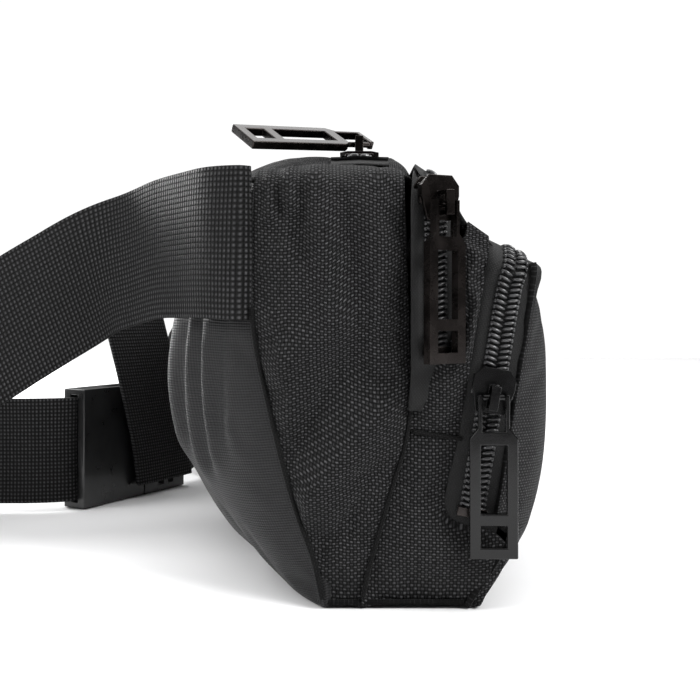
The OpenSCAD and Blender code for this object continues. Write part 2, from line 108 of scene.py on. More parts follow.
camera_data = bpy.data.cameras.new("camera")
camera = bpy.data.objects.new("camera", camera_data)
bpy.context.scene.collection.objects.link(camera)
bpy.context.scene.camera = camera
CAMERA_BACK = 248.5 * MM
CAMERA_UP = 74 * MM
camera.location = (-HALF_L - CAMERA_BACK, 0, CAMERA_UP)
camera.rotation_euler = (math.radians(90), 0, math.radians(-90))
camera_data.sensor_width = 36
camera_data.lens = 52
camera_data.shift_y = -0.059
camera_data.clip_start = 0.01

# ---------------------------------------------------------------- shapes


def unit(v):
    return v.normalized() if v.length > 1e-12 else Vector((0, 0, 1))


def smooth_line(points):
    """A function of 0..1 that runs evenly along a smooth curve through the points."""
    p = [Vector(q) for q in points]
    fine = []
    for i in range(len(p) - 1):
        a, b = p[i], p[i + 1]
        before = p[i - 1] if i else a * 2 - b
        after = p[i + 2] if i + 2 < len(p) else b * 2 - a
        for k in range(12):
            t = k / 12
            fine.append(
                0.5
                * (
                    2 * a
                    + (b - before) * t
                    + (2 * before - 5 * a + 4 * b - after) * t * t
                    + (3 * a - 3 * b + after - before) * t * t * t
                )
            )
    fine.append(p[-1])
    run = [0.0]
    for a, b in zip(fine, fine[1:]):
        run.append(run[-1] + (b - a).length)

    def at(t):
        d = min(max(t, 0.0), 1.0) * run[-1]
        low, high = 0, len(run) - 1
        while high - low > 1:
            mid = (low + high) // 2
            if run[mid] <= d:
                low = mid
            else:
                high = mid
        span = run[high] - run[low]
        return fine[low].lerp(fine[high], (d - run[low]) / span if span else 0)

    at.length = run[-1]
    return at


def mm(*points):
    return [Vector(p) * MM for p in points]


def rough(p, scale, seed):
    """Smooth noise from -1 to 1 at a point, with its features 1/scale apart."""
    return noise.noise(Vector((p.x * scale[0], p.y * scale[1], p.z * scale[2])) + Vector((seed, seed, seed)))


def uv_layer(bm):
    return bm.loops.layers.uv.active or bm.loops.layers.uv.new("UVMap")


def crease(a, b, start, end, width, depth):
    """Height of a soft ridge (a valley if depth is below zero) along a line in flat coordinates a and b."""
    da, db = end[0] - start[0], end[1] - start[1]
    long2 = da * da + db * db
    t = ((a - start[0]) * da + (b - start[1]) * db) / long2
    off = abs((a - start[0]) * db - (b - start[1]) * da) / math.sqrt(long2)
    ends = math.exp(-((max(0, -t, t - 1) * math.sqrt(long2) / (width * 1.6)) ** 2))
    return depth * math.exp(-((off / width) ** 2)) * ends


def new_piece(name, bm, body="bag"):
    mesh = bpy.data.meshes.new(name)
    bm.to_mesh(mesh)
    bm.free()
    piece = bpy.data.objects.new(name, mesh)
    bpy.context.scene.collection.objects.link(piece)
    for f in mesh.polygons:
        f.use_smooth = True
    if body:
        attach(piece, body)
    return piece


def end_grain(p):
    """Position on the cloth for panels that lie across the bag's ends, in metres."""
    return p.y, p.z + abs(abs(p.x) - HALF_L)


def patch(name, place, nu, nv, body="bag", outward=None, grain=None):
    """A grid bent to a surface: place takes (u, v) from 0 to 1, and the UV map holds metres of cloth."""
    bm = bmesh.new()
    uv_layer(bm)
    bmesh.ops.create_grid(bm, x_segments=nu, y_segments=nv, size=0.5, calc_uvs=True)
    flat = {v: (v.co.x + 0.5, v.co.y + 0.5) for v in bm.verts}
    width = sum((place((k + 1) / 8, 0.5) - place(k / 8, 0.5)).length for k in range(8))
    height = sum((place(0.5, (k + 1) / 8) - place(0.5, k / 8)).length for k in range(8))
    uv = uv_layer(bm)
    for face in bm.faces:
        for loop in face.loops:
            u, v = flat[loop.vert]
            loop[uv].uv = grain(place(u, v)) if grain else (u * width, v * height)
    for v, (a, b) in flat.items():
        v.co = place(a, b)
    bm.normal_update()
    if outward is not None:
        lean = sum(f.normal.dot(outward) * f.calc_area() for f in bm.faces)
        if lean < 0:
            bmesh.ops.reverse_faces(bm, faces=bm.faces)
    return new_piece(name, bm, body)


SIM_SCALE = 6


def settle(piece, pressure, slack, cap):
    """Lets cloth pinned at its edge billow and crease, with its movement capped, and keeps the result."""
    mesh = piece.data
    used = {}
    for p in mesh.polygons:
        for k in p.edge_keys:
            used[k] = used.get(k, 0) + 1
    rim = {v for k, n in used.items() if n == 1 for v in k}
    rest = [v.co.copy() for v in mesh.vertices]
    work = piece.copy()
    work.data = mesh.copy()
    work.parent = None
    bpy.context.scene.collection.objects.link(work)
    for v in work.data.vertices:
        v.co *= SIM_SCALE
    group = work.vertex_groups.new(name="seam")
    group.add(sorted(rim), 1.0, "REPLACE")
    cloth = work.modifiers.new("cloth", "CLOTH")
    s = cloth.settings
    s.quality = 6
    s.mass = 0.3
    s.tension_stiffness = s.compression_stiffness = 15
    s.shear_stiffness = 5
    s.bending_stiffness = 0.4
    s.use_pressure = True
    s.uniform_pressure_force = pressure
    s.effector_weights.gravity = 0
    s.vertex_group_mass = "seam"
    s.shrink_min = -slack
    cloth.collision_settings.use_collision = False
    cloth.point_cache.frame_start = 1
    cloth.point_cache.frame_end = 20
    scene = bpy.context.scene
    for f in range(1, 21):
        scene.frame_set(f)
    moved = work.evaluated_get(bpy.context.evaluated_depsgraph_get()).to_mesh()
    for v, was, now in zip(mesh.vertices, rest, moved.vertices):
        step = now.co / SIM_SCALE - was
        if step.length > cap:
            step = step.normalized() * cap
        v.co = was + step
    bpy.data.objects.remove(work)
    scene.frame_set(1)


def finish_cloth(piece, material, thickness=1.4 * MM, levels=1):
    """One round of smoothing, then the cloth's thickness on its inner side."""
    piece.data.materials.append(material)
    if levels:
        sub = piece.modifiers.new("smooth", "SUBSURF")
        sub.levels = sub.render_levels = levels
    solid = piece.modifiers.new("thickness", "SOLIDIFY")
    solid.thickness = thickness
    solid.offset = -1
    return piece


# ---------------------------------------------------------------- material groups


def group(name, inputs, outputs):
    tree = bpy.data.node_groups.new(name, "ShaderNodeTree")
    for label, kind, value in inputs:
        s = tree.interface.new_socket(name=label, in_out="INPUT", socket_type=kind)
        if value is not None:
            s.default_value = value
    for label, kind in outputs:
        tree.interface.new_socket(name=label, in_out="OUTPUT", socket_type=kind)
    return tree, tree.nodes.new("NodeGroupInput"), tree.nodes.new("NodeGroupOutput")


def maths(tree, operation, *values):
    n = tree.nodes.new("ShaderNodeMath")
    n.operation = operation
    for i, v in enumerate(values):
        if isinstance(v, (int, float)):
            n.inputs[i].default_value = v
        else:
            tree.links.new(v, n.inputs[i])
    return n.outputs[0]


def noise_node(tree, vector, scale, detail=2.0):
    n = tree.nodes.new("ShaderNodeTexNoise")
    n.inputs["Scale"].default_value = scale
    n.inputs["Detail"].default_value = detail
    tree.links.new(vector, n.inputs["Vector"])
    return n.outputs["Fac"]


def wave(tree, coordinate, pitch):
    """The sine of the coordinate, half a turn for each pitch."""
    return maths(tree, "SINE", maths(tree, "MULTIPLY", maths(tree, "DIVIDE", coordinate, pitch), math.pi))


def weave_group():
    """Over-and-under cloth: height and a mask of the raised yarns, from a position on the cloth in metres."""
    tree, given, out = group(
        "plain_weave",
        [
            ("Position", "NodeSocketVector", None),
            ("Pitch U", "NodeSocketFloat", 0.001),
            ("Pitch V", "NodeSocketFloat", 0.001),
            ("Wander", "NodeSocketFloat", 0.0002),
        ],
        [("Height", "NodeSocketFloat"), ("Raised", "NodeSocketFloat"), ("Fibre", "NodeSocketFloat")],
    )
    split = tree.nodes.new("ShaderNodeSeparateXYZ")
    tree.links.new(given.outputs["Position"], split.inputs[0])
    drift = maths(tree, "SUBTRACT", noise_node(tree, given.outputs["Position"], 90), 0.5)
    shift = maths(tree, "MULTIPLY", drift, given.outputs["Wander"])
    u = maths(tree, "ADD", split.outputs[0], shift)
    v = maths(tree, "SUBTRACT", split.outputs[1], shift)
    wave_u, wave_v = wave(tree, u, given.outputs["Pitch U"]), wave(tree, v, given.outputs["Pitch V"])
    weft_up = maths(tree, "GREATER_THAN", maths(tree, "MULTIPLY", wave_u, wave_v), 0.0)
    warp_up = maths(tree, "SUBTRACT", 1.0, weft_up)
    au, av = maths(tree, "ABSOLUTE", wave_u), maths(tree, "ABSOLUTE", wave_v)
    weft = maths(tree, "MULTIPLY", maths(tree, "POWER", au, 0.45), maths(tree, "POWER", av, 1.1))
    warp = maths(tree, "MULTIPLY", maths(tree, "POWER", au, 1.1), maths(tree, "POWER", av, 0.45))
    fibre = noise_node(tree, given.outputs["Position"], 6000, 1.0)
    patchy = noise_node(tree, given.outputs["Position"], 750, 2.0)
    warp_lift = maths(tree, "MULTIPLY", maths(tree, "MULTIPLY", warp, 0.55), warp_up)
    lift = maths(tree, "MULTIPLY_ADD", weft, weft_up, warp_lift)
    height = maths(tree, "ADD", lift, maths(tree, "MULTIPLY", fibre, 0.18))
    sharp = maths(tree, "POWER", lift, 2.2)
    uneven = maths(tree, "MULTIPLY_ADD", patchy, 2.4, -0.25)
    raised = maths(tree, "MULTIPLY", sharp, uneven)
    tree.links.new(height, out.inputs["Height"])
    tree.links.new(raised, out.inputs["Raised"])
    tree.links.new(fibre, out.inputs["Fibre"])
    return tree


def webbing_group():
    """Heavy webbing: columns of rounded picks across the belt, in a straight grid that wanders a little along
    the belt.
    """
    tree, given, out = group(
        "webbing_weave",
        [
            ("Position", "NodeSocketVector", None),
            ("Pick", "NodeSocketFloat", 0.00128),
            ("Row", "NodeSocketFloat", 0.00136),
        ],
        [("Height", "NodeSocketFloat"), ("Raised", "NodeSocketFloat")],
    )
    split = tree.nodes.new("ShaderNodeSeparateXYZ")
    tree.links.new(given.outputs["Position"], split.inputs[0])
    drift = maths(tree, "SUBTRACT", noise_node(tree, given.outputs["Position"], 220), 0.5)
    u = maths(tree, "MULTIPLY_ADD", drift, 0.0002, split.outputs[0])
    along = maths(tree, "ABSOLUTE", wave(tree, u, given.outputs["Pick"]))
    across = maths(tree, "ABSOLUTE", wave(tree, split.outputs[1], given.outputs["Row"]))
    fibre = noise_node(tree, given.outputs["Position"], 4500, 1.0)
    patchy = noise_node(tree, given.outputs["Position"], 700, 1.0)
    knob = maths(tree, "MULTIPLY", maths(tree, "POWER", along, 0.8), maths(tree, "POWER", across, 0.6))
    height = maths(tree, "ADD", knob, maths(tree, "MULTIPLY", fibre, 0.12))
    # Random patches that vary how strongly the picks are painted lighter as a painted highlight.
    worn = maths(tree, "MULTIPLY_ADD", patchy, 0.9, 0.5)
    raised = maths(tree, "MULTIPLY", maths(tree, "POWER", knob, 2.5), worn)
    tree.links.new(height, out.inputs["Height"])
    tree.links.new(raised, out.inputs["Raised"])
    return tree


def handling_group():
    """Slow shade changes and specks of lint over a surface."""
    tree, given, out = group(
        "handling",
        [("Position", "NodeSocketVector", None), ("Scale", "NodeSocketFloat", 40.0)],
        [("Shade", "NodeSocketFloat"), ("Lint", "NodeSocketFloat")],
    )
    n = tree.nodes.new("ShaderNodeTexNoise")
    n.inputs["Detail"].default_value = 4
    tree.links.new(given.outputs["Position"], n.inputs["Vector"])
    tree.links.new(given.outputs["Scale"], n.inputs["Scale"])
    spots = noise_node(tree, given.outputs["Position"], 1500, 0.0)
    lint = maths(tree, "GREATER_THAN", spots, 0.8)
    tree.links.new(n.outputs["Fac"], out.inputs["Shade"])
    tree.links.new(lint, out.inputs["Lint"])
    return tree


WEAVE = weave_group()
WEBBING = webbing_group()
HANDLING = handling_group()


class Surface:
    """A material with its shader, and short ways to add nodes and links."""

    def __init__(self, name):
        self.material = bpy.data.materials.new(name)
        self.material.use_nodes = True
        self.tree = self.material.node_tree
        self.shader = self.tree.nodes["Principled BSDF"]
        self.coords = self.tree.nodes.new("ShaderNodeTexCoord")

    def set(self, **values):
        for key, value in values.items():
            self.shader.inputs[key.replace("_", " ")].default_value = value

    def use(self, tree, vector=None, **values):
        n = self.tree.nodes.new("ShaderNodeGroup")
        n.node_tree = tree
        self.tree.links.new(vector or self.coords.outputs["UV"], n.inputs["Position"])
        for key, value in values.items():
            n.inputs[key.replace("_", " ")].default_value = value
        return n

    def ramp(self, factor, stops):
        n = self.tree.nodes.new("ShaderNodeValToRGB")
        n.color_ramp.elements.remove(n.color_ramp.elements[0])
        n.color_ramp.elements[0].position = stops[0][0]
        n.color_ramp.elements[0].color = (*stops[0][1], 1)
        for where, colour in stops[1:]:
            n.color_ramp.elements.new(where).color = (*colour, 1)
        self.tree.links.new(factor, n.inputs[0])
        return n.outputs[0]

    def bump(self, height, distance, strength=1.0, under=None):
        n = self.tree.nodes.new("ShaderNodeBump")
        n.inputs["Distance"].default_value = distance
        n.inputs["Strength"].default_value = strength
        self.tree.links.new(height, n.inputs["Height"])
        if under is not None:
            self.tree.links.new(under, n.inputs["Normal"])
        return n.outputs[0]

    def feed(self, socket, value):
        self.tree.links.new(value, self.shader.inputs[socket])


def grey(value, warm=0.0):
    return (value * (1 + warm), value, value * (1 - warm) if warm else value * 1.04)


def cloth_material(name, dark, light, pitch_u, pitch_v, depth=0.16 * MM, wander=0.35 * MM):
    """Woven cloth: the raised yarns are painted lighter in the base colour as a painted highlight and the
    gaps stay dark as painted shade; the bump gives the relief.
    """
    s = Surface(name)
    s.set(Sheen_Weight=0.03, Sheen_Roughness=0.45, Specular_IOR_Level=0.14)
    w = s.use(WEAVE, Pitch_U=pitch_u, Pitch_V=pitch_v, Wander=wander)
    h = s.use(HANDLING, Scale=45.0)
    slow = maths(s.tree, "MULTIPLY_ADD", h.outputs["Shade"], 0.5, 0.75)
    level = maths(s.tree, "MULTIPLY", w.outputs["Raised"], slow)
    tone_and_painted_highlight = maths(s.tree, "ADD", level, maths(s.tree, "MULTIPLY", h.outputs["Lint"], 0.2))
    # Base colour: painted highlight on the raised yarns and painted shade in the gaps, varied in random
    # patches, plus real lint specks.
    stops = [(0.0, grey(dark)), (0.35, grey((dark + light) / 2.4)), (1.0, grey(light))]
    s.feed("Base Color", s.ramp(tone_and_painted_highlight, stops))
    s.feed("Roughness", maths(s.tree, "MULTIPLY_ADD", w.outputs["Raised"], -0.22, 0.72))
    s.feed("Normal", s.bump(w.outputs["Height"], depth))
    return s.material


def webbing_material():
    s = Surface("belt_webbing")
    s.set(Sheen_Weight=0.02, Sheen_Roughness=0.4, Specular_IOR_Level=0.16)
    w = s.use(WEBBING)
    h = s.use(HANDLING, Scale=30.0)
    handled = maths(s.tree, "MULTIPLY_ADD", h.outputs["Shade"], 0.6, 0.7)
    tone_and_painted_highlight = maths(s.tree, "MULTIPLY", w.outputs["Raised"], handled)
    # Base colour: the raised picks painted lighter as a painted highlight in random patches, the gaps darker
    # as painted shade.
    s.feed("Base Color", s.ramp(tone_and_painted_highlight, [(0.0, grey(0.0008)), (0.4, grey(0.012)), (1.0, grey(0.06))]))
    s.feed("Roughness", maths(s.tree, "MULTIPLY_ADD", w.outputs["Raised"], -0.2, 0.66))
    s.feed("Normal", s.bump(w.outputs["Height"], 0.3 * MM))
    return s.material


def rib_material():
    """Soft back fabric: fine ribs along the bag, their crowns painted lighter in the base colour as a painted
    sheen, over a faint sheen from the shader.
    """
    s = Surface("back_rib_mesh")
    s.set(Sheen_Weight=0.06, Sheen_Roughness=0.35, Specular_IOR_Level=0.16)
    split = s.tree.nodes.new("ShaderNodeSeparateXYZ")
    s.tree.links.new(s.coords.outputs["UV"], split.inputs[0])
    ribs = maths(s.tree, "ABSOLUTE", wave(s.tree, split.outputs[1], 0.74 * MM))
    cells = maths(s.tree, "ABSOLUTE", wave(s.tree, split.outputs[0], 1.1 * MM))
    height = maths(s.tree, "MULTIPLY_ADD", cells, 0.35, ribs)
    h = s.use(HANDLING, Scale=25.0)
    # Base colour: the rib crowns painted lighter as a painted sheen, varied at random.
    tone_and_painted_highlight = maths(s.tree, "MULTIPLY", height, maths(s.tree, "MULTIPLY_ADD", h.outputs["Shade"], 0.6, 0.5))
    s.feed("Base Color", s.ramp(tone_and_painted_highlight, [(0.0, grey(0.0008)), (1.0, grey(0.027))]))
    s.feed("Roughness", maths(s.tree, "MULTIPLY_ADD", ribs, -0.15, 0.62))
    s.feed("Normal", s.bump(height, 0.14 * MM))
    return s.material


def tape_material():
    s = Surface("zip_tape_weave")
    s.set(Sheen_Weight=0.02, Specular_IOR_Level=0.4)
    w = s.use(WEAVE, Pitch_U=0.45 * MM, Pitch_V=0.38 * MM, Wander=0.1 * MM)
    # Base colour: the raised yarns painted lighter as a painted highlight, the gaps darker as painted shade.
    s.feed("Base Color", s.ramp(w.outputs["Raised"], [(0.0, grey(0.002)), (1.0, grey(0.014))]))
    s.feed("Roughness", maths(s.tree, "MULTIPLY_ADD", w.outputs["Fibre"], 0.2, 0.6))
    s.feed("Normal", s.bump(w.outputs["Height"], 0.08 * MM))
    return s.material


def hard_material(name, colour, worn, metallic, roughness, coat, slow_bump=0.0, mirror=0.5):
    """Metal, enamel or moulded plastic with faint smears, fine scratches and paler rubbed patches."""
    s = Surface(name)
    s.set(Metallic=metallic, Coat_Weight=coat, Coat_Roughness=0.08, Specular_IOR_Level=mirror)
    h = s.use(HANDLING, s.coords.outputs["Object"], Scale=180.0)
    fine = s.use(HANDLING, s.coords.outputs["Object"], Scale=1400.0)
    s.feed("Base Color", s.ramp(h.outputs["Shade"], [(0.35, colour), (0.8, worn)]))
    smear = maths(s.tree, "MULTIPLY_ADD", h.outputs["Shade"], 0.22, roughness - 0.1)
    s.feed("Roughness", maths(s.tree, "MULTIPLY_ADD", fine.outputs["Shade"], 0.08, smear))
    first = s.bump(fine.outputs["Shade"], 0.01 * MM, 0.6)
    if slow_bump:
        first = s.bump(h.outputs["Shade"], slow_bump, 1.0, first)
    s.feed("Normal", first)
    return s.material


def thread_material():
    s = Surface("sewing_thread")
    s.set(Sheen_Weight=0.2)
    h = s.use(HANDLING, s.coords.outputs["Object"], Scale=2500.0)
    s.feed("Base Color", s.ramp(h.outputs["Shade"], [(0.3, grey(0.012)), (0.8, grey(0.05))]))
    s.feed("Roughness", maths(s.tree, "MULTIPLY_ADD", h.outputs["Shade"], 0.2, 0.5))
    s.feed("Normal", s.bump(h.outputs["Shade"], 0.05 * MM))
    return s.material


NYLON = cloth_material("ballistic_nylon", 0.0006, 0.082, 0.87 * MM, 0.74 * MM, 0.35 * MM)
BINDING = cloth_material("edge_binding", 0.0015, 0.012, 0.5 * MM, 0.5 * MM, 0.1 * MM)
BELT = webbing_material()
RIB = rib_material()
TAPE = tape_material()
COIL = hard_material("zip_coil_nylon", grey(0.025), grey(0.07), 0.0, 0.27, 0.6)
GUNMETAL = hard_material("dark_plated_metal", (0.022, 0.0185, 0.0175), (0.042, 0.036, 0.034), 1.0, 0.22, 0.15)
ENAMEL = hard_material("black_enamel", grey(0.003), grey(0.006), 0.0, 0.16, 0.12, 0.05 * MM, 0.3)
PLASTIC = hard_material("buckle_plastic", grey(0.008), grey(0.016), 0.0, 0.26, 0.4, 0.05 * MM)
ELASTIC = hard_material("keeper_elastic", grey(0.004), grey(0.009), 0.0, 0.75, 0.0, 0.1 * MM)
THREAD = thread_material()

# ---------------------------------------------------------------- bag panels

out_mm, crown_mm, end_mm, pocket_mm = (x / MM for x in (BACK_OUT, CROWN, END_H, POCKET_OUT))
floor_mm = 0.4

BACK_END = smooth_line(mm(
    (0, 6, floor_mm), (0, 7.5, 9), (0, 14, 28), (0, 20, 52), (0, 23.6, 71), (0, 24, 90),
    (0, 23.5, end_mm - 2)))
BACK_MID = smooth_line(mm(
    (0, out_mm - 27, floor_mm), (0, out_mm - 16, 7), (0, out_mm - 5, 28), (0, out_mm, 52),
    (0, out_mm - 2, 75), (0, out_mm - 6, 93), (0, out_mm - 13, crown_mm - 8)))
FRONT_END = smooth_line(mm(
    (0, -pocket_mm + 16, floor_mm), (0, -pocket_mm + 8.5, 12), (0, -pocket_mm + 4, 21),
    (0, -pocket_mm + 1.6, 36), (0, -pocket_mm, 60), (0, -pocket_mm + 0.2, 76), (0, -pocket_mm + 1.6, 85.5)))
FRONT_MID = smooth_line(mm(
    (0, -pocket_mm + 15, floor_mm), (0, -pocket_mm + 4, 10), (0, -pocket_mm - 3, 24),
    (0, -pocket_mm - 6.6, 44), (0, -pocket_mm - 6.4, 62), (0, -pocket_mm - 3.6, 77),
    (0, -pocket_mm + 1.2, 85.8)))


def swell(s, power):
    return 1 - abs(s) ** power


def spread(u):
    """Runs from -1 to 1, with its steps closer together near the ends."""
    w = 2 * u - 1
    return 0.45 * w + 0.55 * math.sin(math.pi * w / 2)


def across(end_line, mid_line, power, half):
    def place(u, v):
        s = spread(u)
        p = end_line(v).lerp(mid_line(v), swell(s, power))
        return Vector((s * half, p.y, p.z))

    return place


# Upright folds of the back panel: start and end as (distance in from the end seam, z) in mm,
# then half width and height
BACK_FOLDS = [
    ((-3.5, 74), (-8.6, 44), 1.3, 2.6),
    ((-8.6, 44), (-4.5, 22), 1.4, 2.4),
    ((-6.0, 72), (-12, 44), 1.5, -2.6),
    ((-12, 76), (-17, 36), 2.2, 2.9),
    ((-16, 72), (-20, 34), 1.6, -2.6),
    ((-21, 74), (-26, 30), 2.0, 2.4),
    ((-27, 78), (-33, 40), 3.0, -2.2),
    ((-36, 78), (-40, 36), 3.0, 2.2),
    ((-45, 80), (-52, 36), 4.0, -1.8),
    ((-75, 84), (-70, 40), 5.0, 1.8),
    ((-110, 86), (-118, 38), 5.0, -1.5),
]


def back_place(u, v):
    p = across(BACK_END, BACK_MID, 6, HALF_L)(u, v)
    hold = math.sin(math.pi * v) ** 0.5 * min(1, 8 * min(u, 1 - u))
    fold = rough(p, (34, 20, 9), 3.7) * 2.6 + rough(p, (90, 40, 22), 9.1) * 0.8
    inward, z = (abs(p.x) - HALF_L) / MM, p.z / MM
    drape = sum(crease(inward * 0.9, z, *f) for f in BACK_FOLDS) * (1 if p.x < 0 else 0.7)
    edge = min(1, -inward / 40)
    out = Vector((math.copysign(1 - edge, p.x) * 0.7, 0.4 + 0.6 * edge, 0))
    return p + out * (fold + drape) * MM * hold


def back_panel():
    piece = patch("back_panel", back_place, 92, 40, outward=Vector((0, 1, 0)))
    settle(piece, 3.0, 0.02, 3 * MM)
    finish_cloth(piece, RIB, 2.2 * MM)
    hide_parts("back_cover", "back_foam")


# Edges of the end panels in the YZ plane, by height
SEAM_BACK = smooth_line(mm(
    (0, 6.2, floor_mm), (0, 7.5, 9), (0, 14, 28), (0, 20, 52), (0, 23.6, 71), (0, 24, 90), (0, 23.5, 104)))
SEAM_FRONT = smooth_line(mm(
    (0, -2.6, floor_mm), (0, -4.2, 9), (0, -9.8, 29), (0, -13.4, 41), (0, -14.8, 52), (0, -15, 64),
    (0, -14.2, 84),
    (0, -13.4, 104)))


# Ridges and valleys of the end panels: start and end as (y, z) in mm, then half width and height
END_FOLDS = [
    ((16.5, 112), (14, 99), 1.7, 2.6),
    ((20.8, 112), (19.6, 97), 1.5, 2.0),
    ((18.8, 112), (17, 98), 1.0, -1.6),
    ((13.4, 112), (11.6, 88), 2.0, -1.8),
    ((9.5, 108), (4, 74), 4.0, 1.9),
    ((2.5, 100), (-2, 70), 3.5, -1.5),
    ((-7, 104), (-9, 72), 3.6, 1.4),
    ((12.8, 24), (-5.9, 47), 4.2, 2.4),
    ((15, 38), (1, 60), 4.0, -1.9),
    ((18, 60), (2, 70), 4.5, 1.5),
    ((6, 14), (-6, 34), 3.0, -1.6),
    ((19, 70), (15, 44), 2.6, 1.3),
]


def end_place(seed):
    """End panel: full height at the end plane, then rolled over on to the top."""
    roll_from = 0.9
    roll_r = 9 * MM

    def place(u, v):
        t = min(v / roll_from, 1)
        a, b = SEAM_FRONT(t), SEAM_BACK(t)
        p = a.lerp(b, u)
        side = math.sin(math.pi * u)
        x = -HALF_L - 2.6 * MM * side**0.6 * math.sin(math.pi * min(v * 1.05, 1)) ** 0.7
        if v < 0.12:
            x += 1.2 * MM * (1 - v / 0.12)
        point = Vector((x, p.y, p.z))
        y, z = p.y / MM, p.z / MM
        swing = sum(crease(y, z, *f) for f in END_FOLDS)
        unevenness = rough(point, (10, 34, 11), seed) * 1.6 + rough(point, (10, 80, 40), seed + 5) * 0.5
        point.x += unevenness * MM * side
        point.x -= swing * MM * min(1, side * 2.2)
        if v > roll_from:
            turn = (v - roll_from) / (1 - roll_from) * math.pi / 2
            point.x += roll_r * (1 - math.cos(turn))
            point.z += roll_r * math.sin(turn) * (0.55 + 0.2 * side)
        return point

    return place


def mirrored(place):
    def other(u, v):
        p = place(u, v)
        return Vector((-p.x, p.y, p.z))

    return other


def end_panels():
    for side, node, seed in (("near", "near_end_gusset", 2.3), ("far", "far_end_gusset", 7.9)):
        place = end_place(seed)
        if side == "far":
            place = mirrored(place)
        out = Vector((-1 if side == "near" else 1, 0, 0))
        piece = patch(side + "_end_panel", place, 30, 60, outward=out, grain=end_grain)
        settle(piece, 2.0, 0.03, 2.2 * MM)
        finish_cloth(piece, NYLON)
        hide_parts(node)


TOP_REACH = HALF_L - 8 * MM


def top_place(back_end, back_mid, zip_end, zip_mid, seed):
    def place(u, v):
        s = spread(u)
        w = swell(s, 8)
        a = Vector(back_end).lerp(Vector(back_mid), w) * MM
        b = Vector(zip_end).lerp(Vector(zip_mid), w) * MM
        p = a.lerp(b, v)
        hump = math.sin(math.pi * v) * (1.2 + 2.0 * w)
        p.z += hump * MM
        p.x = s * TOP_REACH
        p.z += rough(p, (30, 60, 10), seed) * 0.9 * MM * math.sin(math.pi * v)
        return p

    return place


def top_panels():
    zip_gap = 6.2
    rear = top_place((0, 23.5, end_mm + 0.5), (0, out_mm - 13, crown_mm - 8),
                     (0, MAIN_ZIP_Y / MM + zip_gap, end_mm + 2.5),
                     (0, MAIN_ZIP_Y / MM + zip_gap, crown_mm + 1), 4.2)
    piece = patch("rear_top", rear, 80, 14, outward=Vector((0, 0, 1)))
    settle(piece, 1.5, 0.015, 1.5 * MM)
    finish_cloth(piece, NYLON)
    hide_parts("rear_top_panel")
    front = top_place((0, MAIN_ZIP_Y / MM - zip_gap, end_mm + 2.5),
                      (0, MAIN_ZIP_Y / MM - zip_gap, crown_mm + 1),
                      (0, -16.6, end_mm - 1), (0, -16.8, crown_mm - 6), 6.1)
    piece = patch("front_top", front, 80, 10, outward=Vector((0, 0, 1)))
    settle(piece, 1.0, 0.015, 1.2 * MM)
    finish_cloth(piece, NYLON)
    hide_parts("front_top_panel", "divider")


UPPER_FRONT = smooth_line(mm((0, -26, 103.6), (0, -27.6, 100), (0, -29.4, 97.4)))
POCKET_TOP = smooth_line(mm((0, -29.4, 97.4), (0, -31.6, 96.2), (0, -34.4, 93.6), (0, -36.4, 91)))


def pocket_uppers():
    def strip(line, seed, amount):
        def place(u, v):
            s = spread(u)
            p = line(v)
            point = Vector((s * (HALF_L - 3 * MM), p.y, p.z))
            low = abs(s) ** 10
            point.z -= 2.5 * MM * low
            wave = rough(point, (40, 60, 40), seed) * amount * MM * math.sin(math.pi * v)
            return point + Vector((0, 0, wave))

        return place

    piece = patch("upper_front", strip(UPPER_FRONT, 1.3, 0.8), 80, 8, outward=Vector((0, -1, 0.3)))
    finish_cloth(piece, NYLON)
    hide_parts("front_wall")
    piece = patch("pocket_top_strip", strip(POCKET_TOP, 5.5, 1.0), 80, 8, outward=Vector((0, -0.3, 1)))
    finish_cloth(piece, NYLON)
    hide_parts("pocket_top")


# The pocket's zip runs up the end on a slant: its middle at a height
SIDE_AXIS = Vector(joints["pocket_zip_slide"]["axis"])
SIDE_POINT = Vector(joints["pocket_pull_lift"]["pos_m"])


def side_zip_y(z):
    return SIDE_POINT.y + (z - SIDE_POINT.z) * SIDE_AXIS.y / SIDE_AXIS.z


def pocket_front_place(u, v):
    s = spread(u)
    e, m = FRONT_END(v), FRONT_MID(v)
    body = e.lerp(m, swell(s, 4))
    edge_y = side_zip_y(max(e.z, 20 * MM)) - 6.2 * MM
    if e.z < 20 * MM:
        edge_y = e.y + 2.5 * MM
    round_off = abs(s) ** 26
    y = body.y + (max(edge_y, body.y) - body.y) * round_off
    p = Vector((s * (HALF_L + 0.6 * MM), y, body.z))
    hold = math.sin(math.pi * v) ** 0.5 * min(1, 10 * min(u, 1 - u))
    return p - Vector((0, rough(p, (30, 10, 22), 8.8) * 2.0 * MM * hold, 0))


def pocket_front():
    piece = patch("pocket_front", pocket_front_place, 96, 36, outward=Vector((0, -1, 0)))
    settle(piece, 2.0, 0.02, 2.5 * MM)
    finish_cloth(piece, NYLON)
    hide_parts("pocket_front_panel", "near_corner_strip", "far_corner_strip")




def side_panel(name, nodes_by_side, rear, fore, at_floor, steps, seed):
    """A panel on the bag's end between two edges given as lines of (y, z), made for both ends."""
    for side, out in (("near", -1), ("far", 1)):

        def place(u, v):
            a, b = rear(v), fore(v)
            p = a.lerp(b, u)
            hump = math.sin(math.pi * u) * math.sin(math.pi * v) ** 0.6
            tuck = 2.2 * MM * max(0, 1 - v * 2.6) ** 2 * math.sin(math.pi * u) ** 0.5 if at_floor else 0
            over = 0 if at_floor else 2.6 * MM * max(0, v - 0.88) / 0.12
            x = HALF_L - 0.2 * MM + hump * 1.8 * MM - tuck - over
            point = Vector((x * out, p.y, p.z + tuck * 0.15))
            point.x += out * rough(point, (10, 55, 24), seed + out) * 1.3 * MM * hump
            return point

        piece = patch(f"{side}_{name}", place, *steps, outward=Vector((out, 0, 0)), grain=end_grain)
        settle(piece, 1.5, 0.025, 1.6 * MM)
        finish_cloth(piece, NYLON)
        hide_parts(*nodes_by_side[side])


